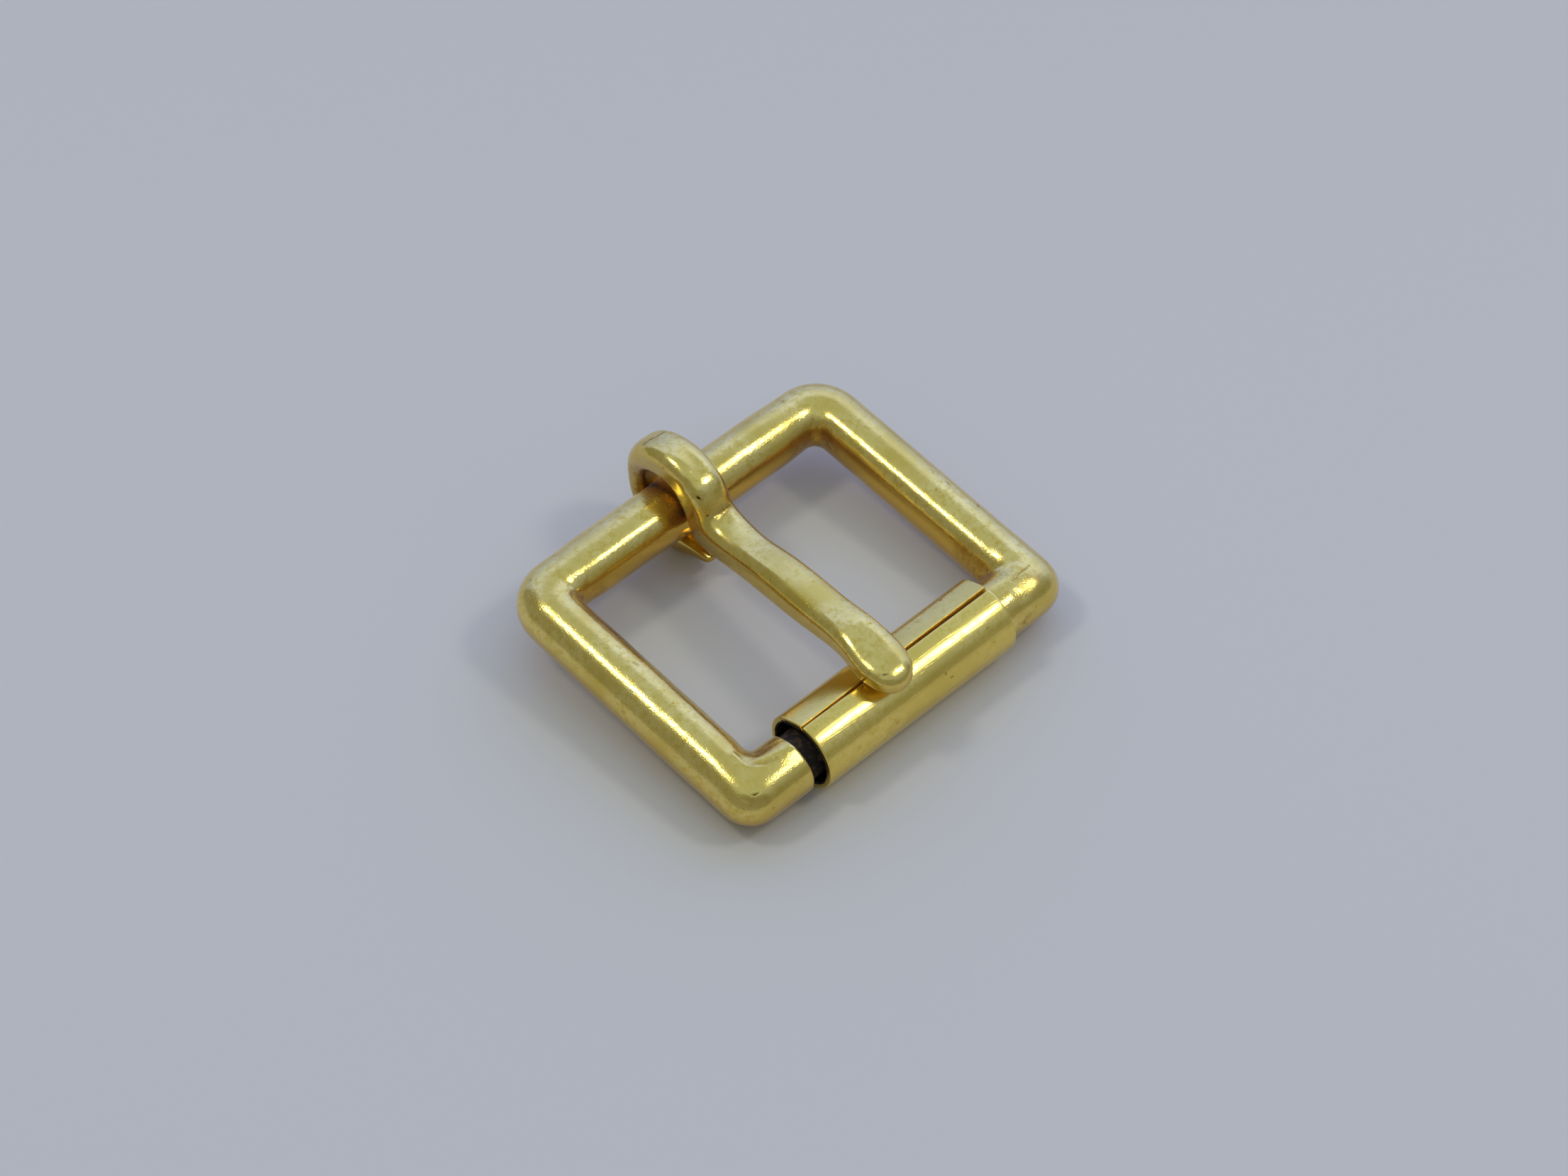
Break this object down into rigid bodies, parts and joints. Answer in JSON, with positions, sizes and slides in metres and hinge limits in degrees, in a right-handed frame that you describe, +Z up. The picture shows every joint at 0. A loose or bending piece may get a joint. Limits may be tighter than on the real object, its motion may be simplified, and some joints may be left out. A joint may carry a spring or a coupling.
{
  "type": "roller buckle",
  "caption": "Rectangular strap buckle of round cast bar, with a sheet metal roller on its front bar and a tongue looped round its hinge bar.",
  "frame": {"origin": "on the surface that the buckle lies on, under the middle of the whole buckle", "axes": "+X along the bars, +Y from the roller towards the hinge bar, +Z up"},
  "size_m": [0.035, 0.0324, 0.0115],
  "materials": {
    "cast_brass": "tumbled cast brass, handled and lightly tarnished",
    "sheet_brass": "rolled sheet brass, a little smoother than the casting"
  },
  "bodies": {
    "frame": {"frame": "cast_brass"},
    "roller": {"roller": "sheet_brass"},
    "tongue": {"tongue": "cast_brass"}
  },
  "joints": [
    {"name": "tongue_hinge", "type": "hinge", "parent": "frame", "child": "tongue", "pos_m": [0, 0.01102, 0.00482], "axis": [-1, 0, 0], "range_deg": [0, 336]},
    {"name": "roller_spin", "type": "hinge", "parent": "frame", "child": "roller", "pos_m": [0, -0.01291, 0.00326], "axis": [1, 0, 0], "continuous": true}
  ]
}
